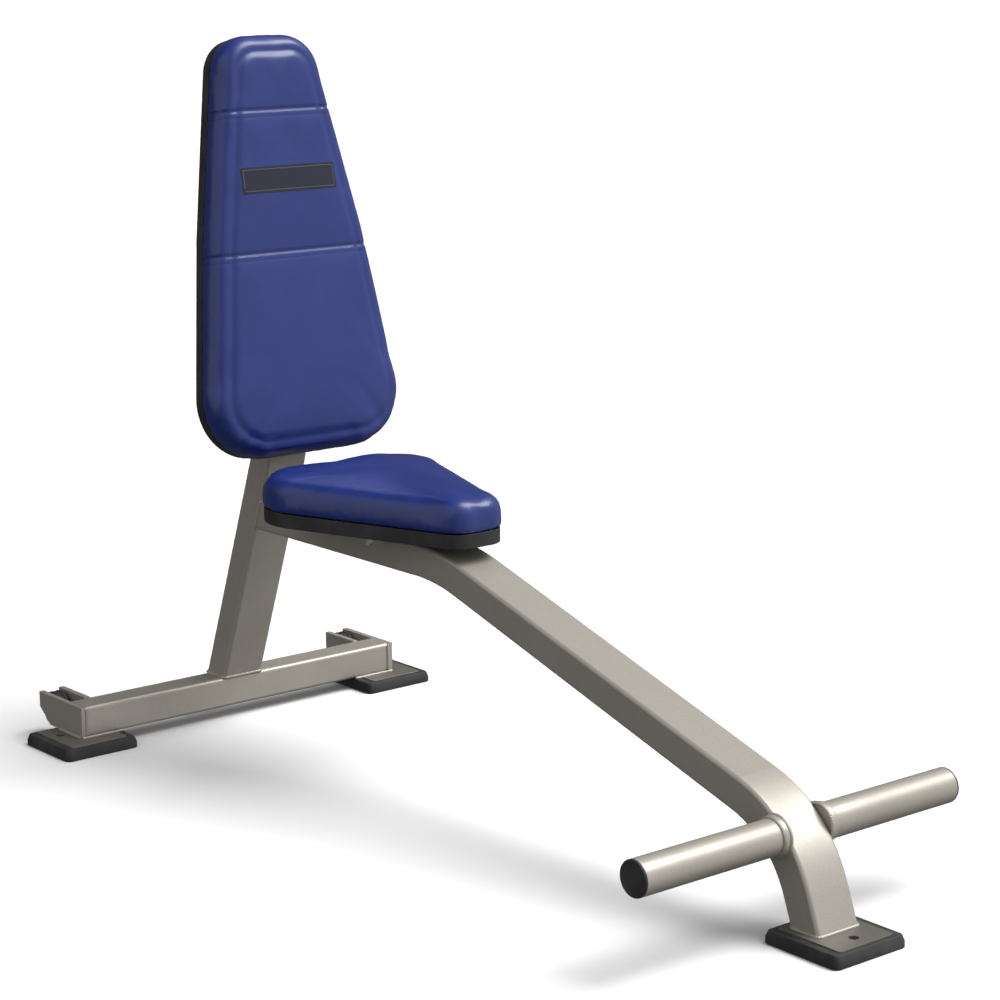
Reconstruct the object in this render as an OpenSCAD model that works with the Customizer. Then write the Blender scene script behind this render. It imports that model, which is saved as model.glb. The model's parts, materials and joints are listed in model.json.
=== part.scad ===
// Fixed-back weight bench: a bent beam on a rear crossbar, a tapered seat, a tapered back
// pad, a foot bar across the front leg and two transport wheels behind the rear feet.
// X runs across the bench, the sitter faces -Y, Z is up and the floor is at z = 0.

/* [Overall] */
// Length over the front foot and the transport wheels
base_len = 1581.5; // [1300:0.5:1900]
// Length of the rear crossbar tube
cross_len = 609.6; // [500:0.1:740]
// Height of the top of the level part of the beam
beam_top = 395; // [325:1:480]

/* [Frame tube] */
// Width of the beam and post tube, across the bench
tube_w = 76.2; // [60:0.1:95]
// Depth of the beam and post tube
tube_d = 50.8; // [40:0.1:62]
// Side of the square crossbar tube
cross_s = 50.8; // [40:0.1:62]
// Wall of the tubes
tube_wall = 3; // [2:0.1:4]
// Outside corner radius of the tubes
tube_r = 6; // [4.5:0.1:9]
// Centre-line radius of the tight tube bends
bend_r = 180; // [140:1:216]
// Centre-line radius of the shallow bend in front of the seat
soft_bend_r = 350; // [280:1:430]

/* [Post] */
// Forward lean of the lower post, from vertical
post_lean = 20.3; // [15:0.1:25]
// Height of the post's knee above the top of the beam
knee_rise = 102.5; // [85:0.5:125]
// Length of the upper post, from the knee to its open end
support_len = 385; // [330:1:470]

/* [Beam] */
// Length of the beam's level part, from the post to the bend
level_len = 455; // [380:1:550]
// Height of the lower bend's corner, on the centre line
leg_knee_z = 150; // [135:1:180]
// Angle of the front leg from the floor
leg_angle = 69.6; // [60:0.1:78]
// Distance from the middle of the front foot back to the leg's centre line
leg_back = 19; // [10:1:24]

/* [Foot bar] */
// Outside diameter of the foot bar
bar_d = 50.8; // [42:0.1:60]
// Length of the foot bar over its end plugs
bar_len = 583; // [480:1:700]
// Distance from the lower bend's corner back to the bar's axis
bar_back = 5; // [0:1:10]
// Distance from the lower bend's corner down to the bar's axis
bar_drop = 11; // [5:1:16]
// Wall of the collars round the bar
collar_wall = 3.2; // [2:0.1:5]
// Length of each collar, from the side of the leg
collar_len = 10; // [6:0.5:15]

/* [Feet] */
// Side of the square rubber feet
foot_size = 134; // [126:1:162]
// Height of a rubber foot
rubber_h = 18; // [15:1:22]
// Inward slope of a rubber foot's sides, from its base to its top
foot_taper = 4; // [2:0.5:5]
// Height of a foot plate above the rubber
plate_proud = 2; // [1:0.5:3]
// Thickness of the steel foot plates
foot_plate_t = 6.35; // [5:0.05:8]
// Width of a foot plate, across the bench
foot_plate_w = 102; // [96:1:106]
// Length of a foot plate, along the bench
foot_plate_l = 114; // [105:1:118]
// Corner radius of the rubber feet
foot_corner = 10; // [6:1:15]
// Diameter of the bolt-down holes
anchor_d = 14.3; // [10:0.1:17.2]
// Distance from a rear foot's middle outwards to its bolt-down hole
anchor_out = 30; // [28:1:38]
// Distance from a rear foot's middle back to its bolt-down hole
anchor_back = 16; // [0:1:30]
// Distance from the front foot's middle forward to its bolt-down hole
anchor_front = 33; // [32:1:42]

/* [Transport wheels] */
// Radius of the transport wheels
wheel_r = 29; // [24:0.5:35]
// Width of the transport wheels
wheel_w = 24; // [20:0.5:29]
// Height of the wheel axle
axle_z = 41; // [36:1:45]
// Distance from a rear foot's back edge to the wheel axle
axle_behind = 24.5; // [24:0.5:34]
// Distance from the wheel axle to the end of the brackets
bracket_tail = 17; // [14:1:22]
// Thickness of the wheel brackets
bracket_t = 9.5; // [8:0.5:11]
// Length of the slanted cut at the lower rear corner of the brackets
bracket_cut_len = 32; // [22:1:36]
// Height of the slanted cut at the lower rear corner of the brackets
bracket_cut_h = 25; // [18:1:30]
// Diameter of the axle bolt's shank
axle_d = 10; // [8:0.5:12]
// Thickness of the thrust washers beside the wheels
washer_t = 1.6; // [1:0.1:2]
// Gap between each thrust washer and its wheel
wheel_play = 0.35; // [0.3:0.05:0.6]

/* [Seat] */
// Distance from the post to the seat's rear edge, at the top of the beam
seat_gap = 116; // [95:1:140]
// Length of the seat
seat_len = 407; // [340:1:490]
// Greatest width of the seat
seat_w = 312; // [260:1:375]
// Width of the seat at its front corners
seat_nose_w = 113; // [98:1:136]
// Radius of the seat's rear corners
seat_rear_r = 90; // [75:1:108]
// Radius of the seat's front corners
seat_nose_r = 39; // [32:1:47]
// Thickness of the seat cushion above its shell
seat_cushion_t = 55; // [46:1:66]
// Depth of the seat cushion's rounded upper edge
seat_round = 20; // [14:1:26]

/* [Back] */
// Backward lean of the back pad, from vertical
back_lean = 9.7; // [5:0.1:15]
// Length of the back pad
back_len = 662; // [550:1:795]
// Greatest width of the back pad, near its lower end
back_w = 361; // [300:1:434]
// Width of the back pad half way up
back_mid_w = 292; // [275:1:310]
// Width of the back pad at its upper corners
back_top_w = 192; // [160:1:215]
// Radius of the back pad's lower corners
back_low_r = 95; // [80:1:115]
// Radius of the slight swell of the back pad's sides
back_mid_r = 120; // [80:1:135]
// Radius of the back pad's upper corners
back_top_r = 62; // [50:1:75]
// Length of back pad below the post's knee
back_drop = 23; // [18:1:32]
// Thickness of the back cushion in front of its shell
back_cushion_t = 52; // [43:1:63]
// Depth of the back cushion's rounded front edge
back_round = 28; // [20:1:34]

/* [Pad backing] */
// Height of the seat shell's rim
seat_shell_h = 22; // [20:1:26]
// Height of the back shell's rim
back_shell_h = 18; // [17:0.5:22]
// Wall of the shells
shell_t = 2.5; // [2:0.1:3]
// Distance from a cushion's outline in to its shell
shell_inset = 2; // [1:0.5:4]
// Thickness of the plywood boards
board_t = 12; // [10:0.5:14]

/* [Pad fixings] */
// Thickness of the mounting plates
mount_t = 9.5; // [8:0.5:11]
// Length of the mounting plates, across the bench
mount_len = 180; // [170:1:200]
// Width of the mounting plates
mount_w = 50; // [42:1:60]
// Distance between the two bolts of one mounting plate
bolt_pitch = 144; // [125:1:150]
// Diameter of the pad bolts
bolt_d = 8; // [6:0.5:10]
// Distance from the seat's rear edge to the rear mounting plate's middle
seat_plate_back = 72; // [60:1:90]
// Distance between the middles of the two seat plates
seat_plate_pitch = 150; // [120:1:165]
// Distance from the back pad's lower end to the lower plate's middle
back_plate_low = 150; // [125:1:180]
// Distance between the middles of the two back plates
back_plate_pitch = 205; // [170:1:225]

/* [Hidden] */
$fn = 64;
foot_h = rubber_h + plate_proud;
clear = 0.5;
past = 1;
film = 0.01;
hex = 6;
foot_inboard = 5;
plate_corner = 5;
mount_corner = 6;
anchor_slack = 3;
shoulder_slope = 0.8;

// Rear end, from the wheels forward
axle_y = base_len / 2 - wheel_r;
rear_foot_y = axle_y - axle_behind - foot_size / 2;
cross_y = rear_foot_y - cross_s / 2;
cross_top = foot_h + cross_s;
bracket_end = axle_y + bracket_tail;
rear_foot_x = cross_len / 2 - foot_inboard;
wheel_gap = wheel_w + 2 * (washer_t + wheel_play);
wheel_x = cross_len / 2 - wheel_gap / 2;
inner_bracket_x = cross_len / 2 - wheel_gap - bracket_t;
washer_r = axle_d / 2 + 5;
bush_r = axle_d / 2 + 3;
bush_play = 0.06;
wheel_edge = 3;
axle_head_r = axle_d * 0.9;
axle_blind = 2;

// Front end
front_foot_y = -base_len / 2 + foot_size / 2;
leg_foot_y = front_foot_y + leg_back;

// Post: its front face passes through the crossbar's front upper edge and the knee
function post_face_y(z) = cross_y - (z - cross_top) * tan(post_lean);
knee_z = beam_top + knee_rise;
knee_y = post_face_y(knee_z);
post_turn = post_lean + back_lean;
knee_mid = [knee_y + tube_d / 2 * cos((post_lean - back_lean) / 2) / cos(post_turn / 2),
            knee_z + tube_d / 2 * sin((post_lean - back_lean) / 2) / cos(post_turn / 2)];
post_low = knee_mid + (knee_z + tube_d) * [tan(post_lean), -1];
post_high = knee_mid + support_len * [sin(back_lean), cos(back_lean)];
post_path = [post_low, knee_mid, post_high];

// Beam centre line, from inside the post to below the foot plate
beam_mid_z = beam_top - tube_d / 2;
level_end_y = post_face_y(beam_top) - level_len;
leg_knee = [leg_foot_y + (leg_knee_z - foot_h) / tan(leg_angle), leg_knee_z];
leg_end = leg_knee - (leg_knee_z + tube_d) * [1 / tan(leg_angle), 1];
beam_path = [[cross_y + tube_d, beam_mid_z], [level_end_y, beam_mid_z], leg_knee, leg_end];
bend_spare = 2;
bend_thin = 0.06;
bar_y = leg_knee[0] + bar_back;
bar_z = leg_knee[1] - bar_drop;

// Foot bar plugs
plug_rim = 3;
plug_depth = 18;

// Seat, measured from its rear edge
seat_y = post_face_y(beam_top) - seat_gap;
seat_z = beam_top + mount_t;
seat_outline = [[seat_nose_w / 2 - seat_nose_r, seat_nose_r - seat_len, seat_nose_r],
                [seat_w / 2 - seat_rear_r, -seat_rear_r, seat_rear_r]];
seat_bolt_y = [-seat_plate_back, -seat_plate_back - seat_plate_pitch];

// Back pad, measured along itself from its lower end; its rear face lies on the plates
back_at = [0, knee_y - mount_t * cos(back_lean) - back_drop * sin(back_lean),
           knee_z + mount_t * sin(back_lean) - back_drop * cos(back_lean)];
back_outline = [[back_w / 2 - back_low_r, back_low_r, back_low_r],
                [back_mid_w / 2 - back_mid_r, back_len / 2, back_mid_r],
                [back_top_w / 2 - back_top_r, back_len - back_top_r, back_top_r]];
back_bolt_y = [back_plate_low, back_plate_low + back_plate_pitch];

// Pad bolts and tee nuts
head_h = 6;
head_r = bolt_d * 0.85;
flange_r = bolt_d * 1.1;
flange_h = 1.6;
tee_r = bolt_d / 2 + 1.5;
tee_flange_r = bolt_d * 1.2;
tee_flange_h = 1.5;
bolt_len = mount_t + shell_t + board_t - tee_flange_h;

// ---- Shared shapes ----

module rounded_rect(w, d, r) {
    square([w - 2 * r, d], center = true);
    square([w, d - 2 * r], center = true);
    for (sx = [-1, 1], sy = [-1, 1])
        translate([sx * (w / 2 - r), sy * (d / 2 - r)])
            circle(r);
}

module ring(outer_r, inner_r) {
    difference() {
        circle(outer_r);
        circle(inner_r);
    }
}

// Wall of a rectangular tube, its width along x and its depth along y, thinned on both sides
module tube_section(w, d, thin = 0) {
    bore = tube_wall - thin;
    difference() {
        rounded_rect(w - 2 * thin, d - 2 * thin, tube_r - thin);
        rounded_rect(w - 2 * bore, d - 2 * bore, tube_r - bore);
    }
}

// Puts a side view, drawn as (y, z) with its width along local z, into the bench's frame
module side_view() {
    rotate([90, 0, 90])
        children();
}

// Puts local z along the bench's X axis, centred on a side-view point
module along_x(y, z) {
    translate([0, y, z])
        rotate([0, 90, 0])
            children();
}

// Parts are drawn on the bench's left, towards +X, and mirrored for its right
module mirror_to(side) {
    flip = side == "left" ? 0 : 1;
    mirror([flip, 0, 0])
        children();
}

function heading(a, b) = atan2(b[1] - a[1], b[0] - a[0]);
function wrap(a) = a > 180 ? a - 360 : a < -180 ? a + 360 : a;
function turn(p, i) = wrap(heading(p[i], p[i + 1]) - heading(p[i - 1], p[i]));
function is_corner(p, i) = i > 0 && i < len(p) - 1;
function setback(p, r, i) = is_corner(p, i) ? r[i - 1] * tan(abs(turn(p, i)) / 2) : 0;
function run_len(p, r, i) = norm(p[i + 1] - p[i]) - setback(p, r, i) - setback(p, r, i + 1);

// Everything past the plane where a bend ends, seen from the bend's centre
module past_bend(angle, r) {
    rotate([0, 0, angle])
        translate([0, -2 * r, -tube_w])
            cube([r, 4 * r, 2 * tube_w]);
}

// Bend from the origin, where the tube runs along +X; the angle is positive to the left.
// Its wall is a hair thinner, so that it ends inside the ends of the straight stretches
module tube_bend(angle, r) {
    side = sign(angle);
    translate([0, side * r, 0])
        difference() {
            mirror([0, side > 0 ? 0 : 1, 0])
                rotate([0, 0, -90])
                    rotate_extrude(angle = abs(angle) + bend_spare)
                        translate([r, 0])
                            rotate(90)
                                tube_section(tube_w, tube_d, bend_thin);
            past_bend(angle, r);
        }
}

// Tube from its place at the origin, along +X, through the corners of a side-view path;
// each stretch is drawn in the frame of the one before, so their faces meet exactly
module tube_from(p, r, i) {
    length = run_len(p, r, i);
    rotate([0, 90, 0])
        linear_extrude(length)
            tube_section(tube_w, tube_d);
    if (is_corner(p, i + 1)) {
        angle = turn(p, i + 1);
        middle = sign(angle) * r[i];
        translate([length, 0, 0]) {
            tube_bend(angle, r[i]);
            translate([0, middle, 0])
                rotate([0, 0, angle])
                    translate([0, -middle, 0])
                        tube_from(p, r, i + 1);
        }
    }
}

// Bent tube along a side-view path, with one bend radius for each corner
module bent_tube(p, r) {
    side_view()
        translate([p[0][0], p[0][1], 0])
            rotate([0, 0, heading(p[0], p[1])])
                tube_from(p, r, 0);
}

// Rounded outline, the same on both sides: its right flank runs round a chain of circles,
// each [x, y, radius], from the lowest to the highest
function tangent_at(a, b) = heading(a, b) - acos((a[2] - b[2]) / norm([b[0] - a[0], b[1] - a[1]]));
function touch(c, angle) = [c[0] + c[2] * cos(angle), c[1] + c[2] * sin(angle)];
function shrunk(chain, inset) = [for (c = chain) [c[0], c[1], c[2] - inset]];
function flank(c) =
    [for (i = [0:len(c) - 2], end = [0, 1]) touch(c[i + end], tangent_at(c[i], c[i + 1]))];

module rounded_outline(chain, inset) {
    c = shrunk(chain, inset);
    low = c[0];
    high = c[len(c) - 1];
    for (side = [0, 1])
        mirror([side, 0])
            union() {
                polygon(concat([[0, low[1] - low[2]], [low[0], low[1] - low[2]]], flank(c),
                               [[high[0], high[1] + high[2]], [0, high[1] + high[2]]]));
                for (corner = c)
                    translate([corner[0], corner[1]])
                        circle(corner[2]);
            }
}

// Open tray with a floor, holding a board
module tray(chain, h, bolt_y) {
    difference() {
        linear_extrude(h)
            rounded_outline(chain, shell_inset);
        translate([0, 0, shell_t])
            linear_extrude(h)
                rounded_outline(chain, shell_inset + shell_t);
        bolt_places(bolt_y)
            translate([0, 0, -past])
                cylinder(r = bolt_d / 2 + clear, h = shell_t + 2 * past);
    }
}

module board(chain, bolt_y) {
    difference() {
        translate([0, 0, shell_t])
            linear_extrude(board_t)
                rounded_outline(chain, shell_inset + shell_t + clear);
        bolt_places(bolt_y) {
            translate([0, 0, shell_t - past])
                cylinder(r = tee_r, h = board_t + 2 * past);
            translate([0, 0, shell_t + board_t - tee_flange_h])
                cylinder(r = tee_flange_r, h = tee_flange_h + past);
        }
    }
}

// Cushion: fills the tray above the board and stands above its rim, with a sloped shoulder
module cushion(chain, rim_h, thick, shoulder) {
    under = rim_h - shell_t - board_t;
    translate([0, 0, shell_t + board_t])
        linear_extrude(under)
            rounded_outline(chain, shell_inset + shell_t + clear);
    translate([0, 0, rim_h])
        linear_extrude(thick - shoulder)
            rounded_outline(chain, 0);
    translate([0, 0, rim_h + thick - shoulder])
        hull() {
            linear_extrude(film)
                rounded_outline(chain, clear, $fn = 32);
            translate([0, 0, shoulder - film])
                linear_extrude(film)
                    rounded_outline(chain, shoulder * shoulder_slope, $fn = 32);
        }
}

module bolt_places(bolt_y) {
    for (y = bolt_y, side = [-1, 1])
        translate([side * bolt_pitch / 2, y, 0])
            children();
}

module pad_bolt() {
    translate([0, 0, -mount_t - flange_h - head_h])
        cylinder(r = head_r, h = head_h, $fn = hex);
    translate([0, 0, -mount_t - flange_h])
        cylinder(r = flange_r, h = flange_h);
    translate([0, 0, -mount_t])
        cylinder(r = bolt_d / 2, h = bolt_len);
}

module tee_nut() {
    difference() {
        union() {
            translate([0, 0, shell_t])
                cylinder(r = tee_r, h = board_t - tee_flange_h);
            translate([0, 0, shell_t + board_t - tee_flange_h])
                cylinder(r = tee_flange_r, h = tee_flange_h);
        }
        translate([0, 0, shell_t - past])
            cylinder(r = bolt_d / 2, h = board_t + 2 * past);
    }
}

// Flat cross plate under the pads, its top at local z = 0
module mount_plate(y) {
    difference() {
        translate([0, y, -mount_t])
            linear_extrude(mount_t)
                rounded_rect(mount_len, mount_w, mount_corner);
        bolt_places([y])
            translate([0, 0, -mount_t - past])
                cylinder(r = bolt_d / 2 + clear, h = mount_t + 2 * past);
    }
}

module seat_place() {
    translate([0, seat_y, seat_z])
        children();
}

module back_place() {
    translate(back_at)
        rotate([90 - back_lean, 0, 0])
            children();
}

// ---- Frame ----

module rear_crossbar() {
    color("silver")
        along_x(cross_y + cross_s / 2, foot_h + cross_s / 2)
            translate([0, 0, -cross_len / 2])
                linear_extrude(cross_len)
                    tube_section(cross_s, cross_s);
}

module upright_post() {
    color("silver")
        difference() {
            bent_tube(post_path, [bend_r]);
            translate([-tube_w, cross_y - tube_d, -knee_z])
                cube([2 * tube_w, knee_z + 4 * tube_d, knee_z + cross_top]);
        }
}

// Plastic plug with a rim that covers the tube's end
module post_cap() {
    color("dimgray")
        side_view()
            translate([post_high[0], post_high[1], 0])
                rotate([0, 0, 90 - back_lean])
                    rotate([0, 90, 0]) {
                        linear_extrude(plug_rim)
                            rounded_rect(tube_w, tube_d, tube_r);
                        translate([0, 0, -plug_depth])
                            linear_extrude(plug_depth)
                                rounded_rect(tube_w - 2 * tube_wall, tube_d - 2 * tube_wall,
                                             tube_r - tube_wall);
                    }
}

module main_beam() {
    color("silver")
        difference() {
            bent_tube(beam_path, [soft_bend_r, bend_r]);
            translate([0, cross_y, cross_top])
                rotate([post_lean, 0, 0])
                    translate([-tube_w, 0, 0])
                        cube([2 * tube_w, 4 * tube_d, beam_top + tube_d]);
            translate([-tube_w, front_foot_y - foot_size, foot_h - 3 * tube_d])
                cube([2 * tube_w, 2 * foot_size, 3 * tube_d]);
        }
}

// Half of the foot bar, butted against the side of the leg; its inner end is closed
module foot_bar(side) {
    color("silver")
        mirror_to(side)
            along_x(bar_y, bar_z)
                translate([0, 0, tube_w / 2])
                    difference() {
                        cylinder(r = bar_d / 2, h = bar_len / 2 - plug_rim - tube_w / 2);
                        translate([0, 0, tube_wall])
                            cylinder(r = bar_d / 2 - tube_wall, h = bar_len / 2);
                    }
}

// Ring round the foot bar where it meets the leg
module bar_collar(side) {
    color("silver")
        mirror_to(side)
            along_x(bar_y, bar_z)
                translate([0, 0, tube_w / 2])
                    linear_extrude(collar_len)
                        ring(bar_d / 2 + collar_wall, bar_d / 2);
}

module foot_bar_plug(side) {
    color("dimgray")
        mirror_to(side)
            along_x(bar_y, bar_z)
                translate([0, 0, bar_len / 2 - plug_rim]) {
                    cylinder(r = bar_d / 2, h = plug_rim);
                    translate([0, 0, -plug_depth])
                        cylinder(r = bar_d / 2 - tube_wall, h = plug_depth);
                }
}

// ---- Feet ----

module foot_plate(hole_x, hole_y) {
    difference() {
        translate([0, 0, foot_h - foot_plate_t])
            linear_extrude(foot_plate_t)
                rounded_rect(foot_plate_w, foot_plate_l, plate_corner);
        translate([hole_x, hole_y, 0])
            cylinder(d = anchor_d, h = foot_h + past);
    }
}

module rubber_foot(hole_x, hole_y) {
    top = foot_size - 2 * foot_taper;
    difference() {
        hull() {
            linear_extrude(rubber_h / 2)
                rounded_rect(foot_size, foot_size, foot_corner);
            linear_extrude(rubber_h)
                rounded_rect(top, top, foot_corner - foot_taper);
        }
        translate([0, 0, foot_h - foot_plate_t])
            linear_extrude(foot_plate_t)
                rounded_rect(foot_plate_w, foot_plate_l, plate_corner);
        translate([hole_x, hole_y, -past])
            cylinder(d = anchor_d + anchor_slack, h = rubber_h + past);
    }
}

module front_foot_plate() {
    color("darkgray")
        translate([0, front_foot_y, 0])
            foot_plate(0, -anchor_front);
}

module front_rubber_foot() {
    color("#2a2a2c")
        translate([0, front_foot_y, 0])
            rubber_foot(0, -anchor_front);
}

module rear_foot_plate(side) {
    color("darkgray")
        mirror_to(side)
            translate([rear_foot_x, rear_foot_y, 0])
                foot_plate(anchor_out, anchor_back);
}

module rear_rubber_foot(side) {
    color("#2a2a2c")
        mirror_to(side)
            translate([rear_foot_x, rear_foot_y, 0])
                rubber_foot(anchor_out, anchor_back);
}

// ---- Wheel brackets and wheels ----

// Side view of a bracket, from a start line back to its tail
module bracket_profile(from_y) {
    polygon([[from_y, foot_h], [bracket_end - bracket_cut_len, foot_h],
             [bracket_end, foot_h + bracket_cut_h], [bracket_end, cross_top],
             [from_y, cross_top]]);
}

// The outer bracket closes the crossbar's end and is tapped from inside for the axle bolt
module outer_wheel_bracket(side) {
    color("silver")
        mirror_to(side)
            difference() {
                translate([cross_len / 2, 0, 0])
                    side_view()
                        linear_extrude(bracket_t)
                            bracket_profile(cross_y);
                translate([cross_len / 2 - past, 0, 0])
                    along_x(axle_y, axle_z)
                        cylinder(d = axle_d, h = bracket_t - axle_blind + past);
            }
}

module inner_wheel_bracket(side) {
    color("silver")
        mirror_to(side)
            difference() {
                translate([inner_bracket_x, 0, 0])
                    side_view()
                        linear_extrude(bracket_t)
                            bracket_profile(cross_y + cross_s);
                translate([inner_bracket_x - past, 0, 0])
                    along_x(axle_y, axle_z)
                        cylinder(d = axle_d, h = bracket_t + 2 * past);
            }
}

// Hex bolt put in from the middle of the bench, its tip in the outer bracket
module axle_bolt(side) {
    color("lightgray")
        mirror_to(side)
            translate([inner_bracket_x, 0, 0])
                along_x(axle_y, axle_z) {
                    translate([0, 0, -head_h])
                        cylinder(r = axle_head_r, h = head_h, $fn = hex);
                    cylinder(d = axle_d, h = wheel_gap + 2 * bracket_t - axle_blind);
                }
}

module thrust_washers() {
    color("lightgray")
        for (side = ["left", "right"], out = [-1, 1])
            mirror_to(side)
                translate([wheel_x + out * (wheel_gap - washer_t) / 2, 0, 0])
                    along_x(axle_y, axle_z)
                        translate([0, 0, -washer_t / 2])
                            linear_extrude(washer_t)
                                ring(washer_r, axle_d / 2);
}

module transport_wheel(side) {
    color("#1c1c1e")
        mirror_to(side)
            translate([wheel_x, 0, 0])
                along_x(axle_y, axle_z)
                    rotate_extrude()
                        polygon([[bush_r, -wheel_w / 2], [wheel_r - wheel_edge, -wheel_w / 2],
                                 [wheel_r, wheel_edge - wheel_w / 2],
                                 [wheel_r, wheel_w / 2 - wheel_edge],
                                 [wheel_r - wheel_edge, wheel_w / 2],
                                 [bush_r, wheel_w / 2]]);
}

module wheel_bush(side) {
    color("ivory")
        mirror_to(side)
            translate([wheel_x, 0, 0])
                along_x(axle_y, axle_z)
                    translate([0, 0, -wheel_w / 2])
                        linear_extrude(wheel_w)
                            ring(bush_r, axle_d / 2 + bush_play);
}

// ---- Seat ----

module seat_plate(i) {
    color("silver")
        seat_place()
            mount_plate(seat_bolt_y[i]);
}

module seat_shell() {
    color("#2b2b2d")
        seat_place()
            tray(seat_outline, seat_shell_h, seat_bolt_y);
}

module seat_board() {
    color("burlywood")
        seat_place()
            board(seat_outline, seat_bolt_y);
}

module seat_pad() {
    color("#1d2f8f")
        seat_place()
            cushion(seat_outline, seat_shell_h, seat_cushion_t, seat_round);
}

module seat_tee_nuts() {
    color("lightgray")
        seat_place()
            bolt_places(seat_bolt_y)
                tee_nut();
}

module seat_bolts() {
    color("lightgray")
        seat_place()
            bolt_places(seat_bolt_y)
                pad_bolt();
}

// ---- Back ----

module back_plate(i) {
    color("silver")
        back_place()
            mount_plate(back_bolt_y[i]);
}

module back_shell() {
    color("#2b2b2d")
        back_place()
            tray(back_outline, back_shell_h, back_bolt_y);
}

module back_board() {
    color("burlywood")
        back_place()
            board(back_outline, back_bolt_y);
}

module back_pad() {
    color("#1d2f8f")
        back_place()
            cushion(back_outline, back_shell_h, back_cushion_t, back_round);
}

module back_tee_nuts() {
    color("lightgray")
        back_place()
            bolt_places(back_bolt_y)
                tee_nut();
}

module back_bolts() {
    color("lightgray")
        back_place()
            bolt_places(back_bolt_y)
                pad_bolt();
}

rear_crossbar();
upright_post();
post_cap();
main_beam();
bar_collar("left");  // bar_collar_left
bar_collar("right");  // bar_collar_right
foot_bar("left");  // foot_bar_left
foot_bar("right");  // foot_bar_right
foot_bar_plug("left");  // foot_bar_plug_left
foot_bar_plug("right");  // foot_bar_plug_right
front_foot_plate();
rear_foot_plate("left");  // rear_foot_plate_left
rear_foot_plate("right");  // rear_foot_plate_right
front_rubber_foot();
rear_rubber_foot("left");  // rear_rubber_foot_left
rear_rubber_foot("right");  // rear_rubber_foot_right
outer_wheel_bracket("left");  // outer_wheel_bracket_left
outer_wheel_bracket("right");  // outer_wheel_bracket_right
inner_wheel_bracket("left");  // inner_wheel_bracket_left
inner_wheel_bracket("right");  // inner_wheel_bracket_right
axle_bolt("left");  // axle_bolt_left
axle_bolt("right");  // axle_bolt_right
thrust_washers();
transport_wheel("left");  // transport_wheel_left
transport_wheel("right");  // transport_wheel_right
wheel_bush("left");  // wheel_bush_left
wheel_bush("right");  // wheel_bush_right
seat_plate(0);  // seat_plate_rear
seat_plate(1);  // seat_plate_front
seat_shell();
seat_board();
seat_pad();
seat_tee_nuts();
seat_bolts();
back_plate(0);  // back_plate_lower
back_plate(1);  // back_plate_upper
back_shell();
back_board();
back_pad();
back_tee_nuts();
back_bolts();
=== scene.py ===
"""Looks of a utility weight bench: vinyl pads, powder-coated tube frame, rubber feet and wheels.

Every piece is in metres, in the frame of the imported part: X across the bench, the sitter
faces -Y, Z is up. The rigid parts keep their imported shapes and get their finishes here; the
pads, wheels and plugs are built here and stand for their plain solids.
"""

import json
import logging
import math
from dataclasses import dataclass, field
from enum import Enum

import bmesh
import bpy
import numpy as np
from mathutils import Matrix, Vector
from mathutils.bvhtree import BVHTree

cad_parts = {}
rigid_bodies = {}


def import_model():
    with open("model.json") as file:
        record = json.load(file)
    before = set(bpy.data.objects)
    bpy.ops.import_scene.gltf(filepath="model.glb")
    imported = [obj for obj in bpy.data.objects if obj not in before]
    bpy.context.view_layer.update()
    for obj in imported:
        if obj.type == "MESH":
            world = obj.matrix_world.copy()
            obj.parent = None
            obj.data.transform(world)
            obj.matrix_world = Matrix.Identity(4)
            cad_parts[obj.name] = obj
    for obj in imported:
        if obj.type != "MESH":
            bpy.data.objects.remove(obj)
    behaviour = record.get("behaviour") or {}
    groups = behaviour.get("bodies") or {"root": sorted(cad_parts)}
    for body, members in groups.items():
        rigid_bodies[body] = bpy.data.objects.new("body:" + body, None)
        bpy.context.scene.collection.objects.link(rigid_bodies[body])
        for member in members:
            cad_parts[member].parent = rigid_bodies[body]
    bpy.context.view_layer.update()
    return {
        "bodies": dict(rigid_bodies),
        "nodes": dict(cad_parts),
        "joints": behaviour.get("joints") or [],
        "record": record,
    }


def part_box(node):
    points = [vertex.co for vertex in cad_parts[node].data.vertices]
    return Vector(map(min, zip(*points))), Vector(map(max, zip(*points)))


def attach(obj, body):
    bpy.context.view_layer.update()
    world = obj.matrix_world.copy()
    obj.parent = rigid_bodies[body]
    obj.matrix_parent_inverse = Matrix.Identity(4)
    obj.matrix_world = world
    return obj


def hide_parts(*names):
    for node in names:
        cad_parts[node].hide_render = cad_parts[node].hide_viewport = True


MM = 0.001
LOG = logging.getLogger("bench")


class Slot(Enum):
    """Material slots of the record, listed here; no piece is given one."""

    FRAME = "frame"
    UPHOLSTERY = "upholstery"
    SHELLS = "shells"
    PLUGS = "plugs"
    WHEELS = "wheels"
    ZINC = "zinc"


class Side(Enum):
    """Sides of the bench, with the sign of X on each."""

    LEFT = 1
    RIGHT = -1

    @property
    def word(self) -> str:
        """The side's name as the nodes spell it."""
        return self.name.lower()


# ---- Shared helpers ----


def linear(hex_code: str) -> tuple[float, float, float, float]:
    """Turns an sRGB hex colour into linear RGBA.

    Args:
        hex_code: six hex digits.

    Returns:
        Linear red, green, blue and an alpha of 1.
    """
    parts = [int(hex_code[i : i + 2], 16) / 255 for i in (0, 2, 4)]
    lit = [c / 12.92 if c <= 0.04045 else ((c + 0.055) / 1.055) ** 2.4 for c in parts]
    return (lit[0], lit[1], lit[2], 1.0)


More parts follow.
